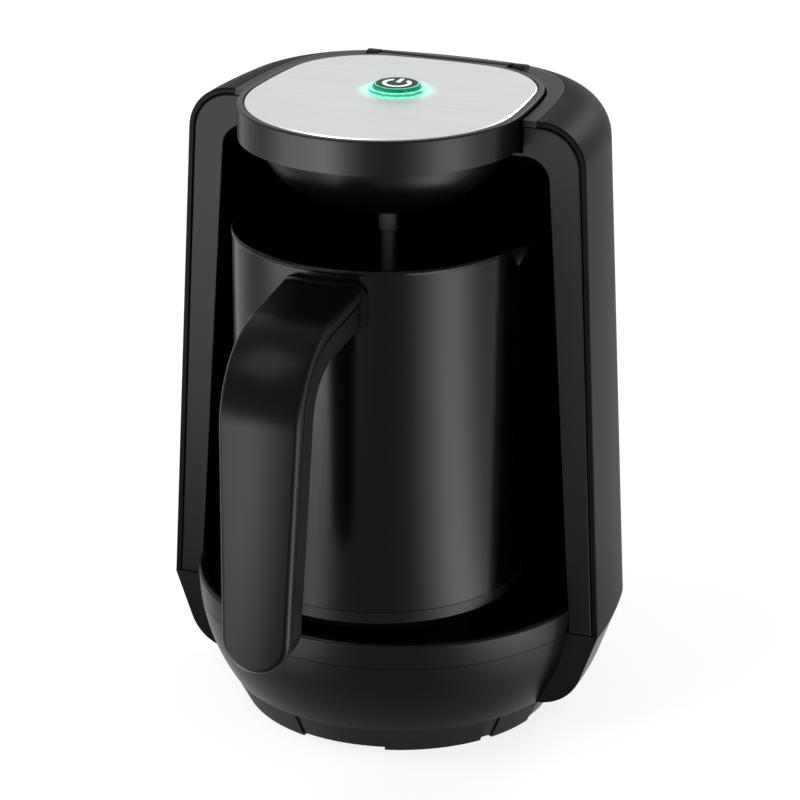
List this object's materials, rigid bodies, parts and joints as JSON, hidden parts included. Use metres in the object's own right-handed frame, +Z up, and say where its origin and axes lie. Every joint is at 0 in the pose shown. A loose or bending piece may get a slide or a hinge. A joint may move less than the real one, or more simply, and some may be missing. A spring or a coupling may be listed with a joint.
{
  "type": "electric turkish coffee maker",
  "caption": "Compact electric maker for Turkish coffee: a U-shaped stand on a round base, a hinged head with power button and foam probe, and a lift-out pot with a long curved handle.",
  "frame": {"origin": "on the table under the middle of the round base", "axes": "+Z up, the pot and its handle face -Y, +X is the object's left-hand side seen from behind it (the viewer's right from the front)"},
  "size_m": [0.152, 0.1937, 0.2136],
  "materials": {
    "shell_black": "gloss",
    "frame_grey": "satin",
    "deck_black": "satin",
    "base_black": "satin",
    "head_grey": "satin",
    "dome_black": "satin",
    "lid_silver": "fine satin",
    "button_black": "gloss",
    "light_turquoise": "translucent, lit",
    "pot_black": "gloss",
    "pot_base_black": "satin",
    "handle_black": "satin",
    "steel": "satin",
    "rubber_grey": "matte",
    "silicone": "matte",
    "connector_black": "matte",
    "brass": "bright",
    "board_green": "satin",
    "component_dark": "matte",
    "led_white": "clear",
    "heater_aluminium": "cast"
  },
  "bodies": {
    "stand": {"outer_shell": "shell_black", "front_frame": "frame_grey", "top_deck": "deck_black", "hinge_pin": "steel", "base_housing": "base_black", "cord_inlet": "rubber_grey", "base_ring": "base_black", "pot_tray": "base_black", "bottom_plate": "base_black", "base_screws": "steel", "rubber_feet": "rubber_grey", "base_connector": "connector_black", "contact_rings": "brass", "control_board": "board_green", "control_board_screws": "steel", "relay": "component_dark", "capacitor": "component_dark"},
    "head": {"head_housing": "head_grey", "head_dome": "dome_black", "lid_plate": "lid_silver", "head_screws": "steel", "light_ring": "light_turquoise", "head_board": "board_green", "head_board_screws": "steel", "button_switch": "component_dark", "status_leds": "led_white", "probe_sleeve": "steel", "probe_rod": "steel", "probe_nut": "steel", "button_spring": "silicone"},
    "button": {"power_button": "button_black"},
    "pot": {"pot_vessel": "pot_black", "pot_base_cover": "pot_base_black", "pot_base_screws": "steel", "pot_connector": "connector_black", "pot_contacts": "brass", "heating_plate": "heater_aluminium", "heating_element": "steel", "thermal_cutout": "component_dark", "handle_collar": "handle_black", "handle_cover": "handle_black", "handle_inner": "handle_black", "handle_screws": "steel"}
  },
  "joints": [
    {"name": "head_hinge", "type": "hinge", "parent": "stand", "child": "head", "pos_m": [0, 0.0415, 0.2063], "axis": [-1, 0, 0], "range_deg": [0, 95]},
    {"name": "pot_slide", "type": "slide", "parent": "stand", "child": "pot", "axis": [0, -0.8829, 0.4695], "range_m": [0, 0.12]},
    {"name": "button_press", "type": "slide", "parent": "head", "child": "button", "axis": [0, 0, -1], "range_m": [0, 0.001], "stiffness_N_per_m": 1500, "springref_m": -0.0004, "deforming": ["button_spring"]}
  ],
  "couplings": [
    {"joint": "pot_slide", "follows": "head_hinge", "m_per_rad": 0.0723}
  ]
}
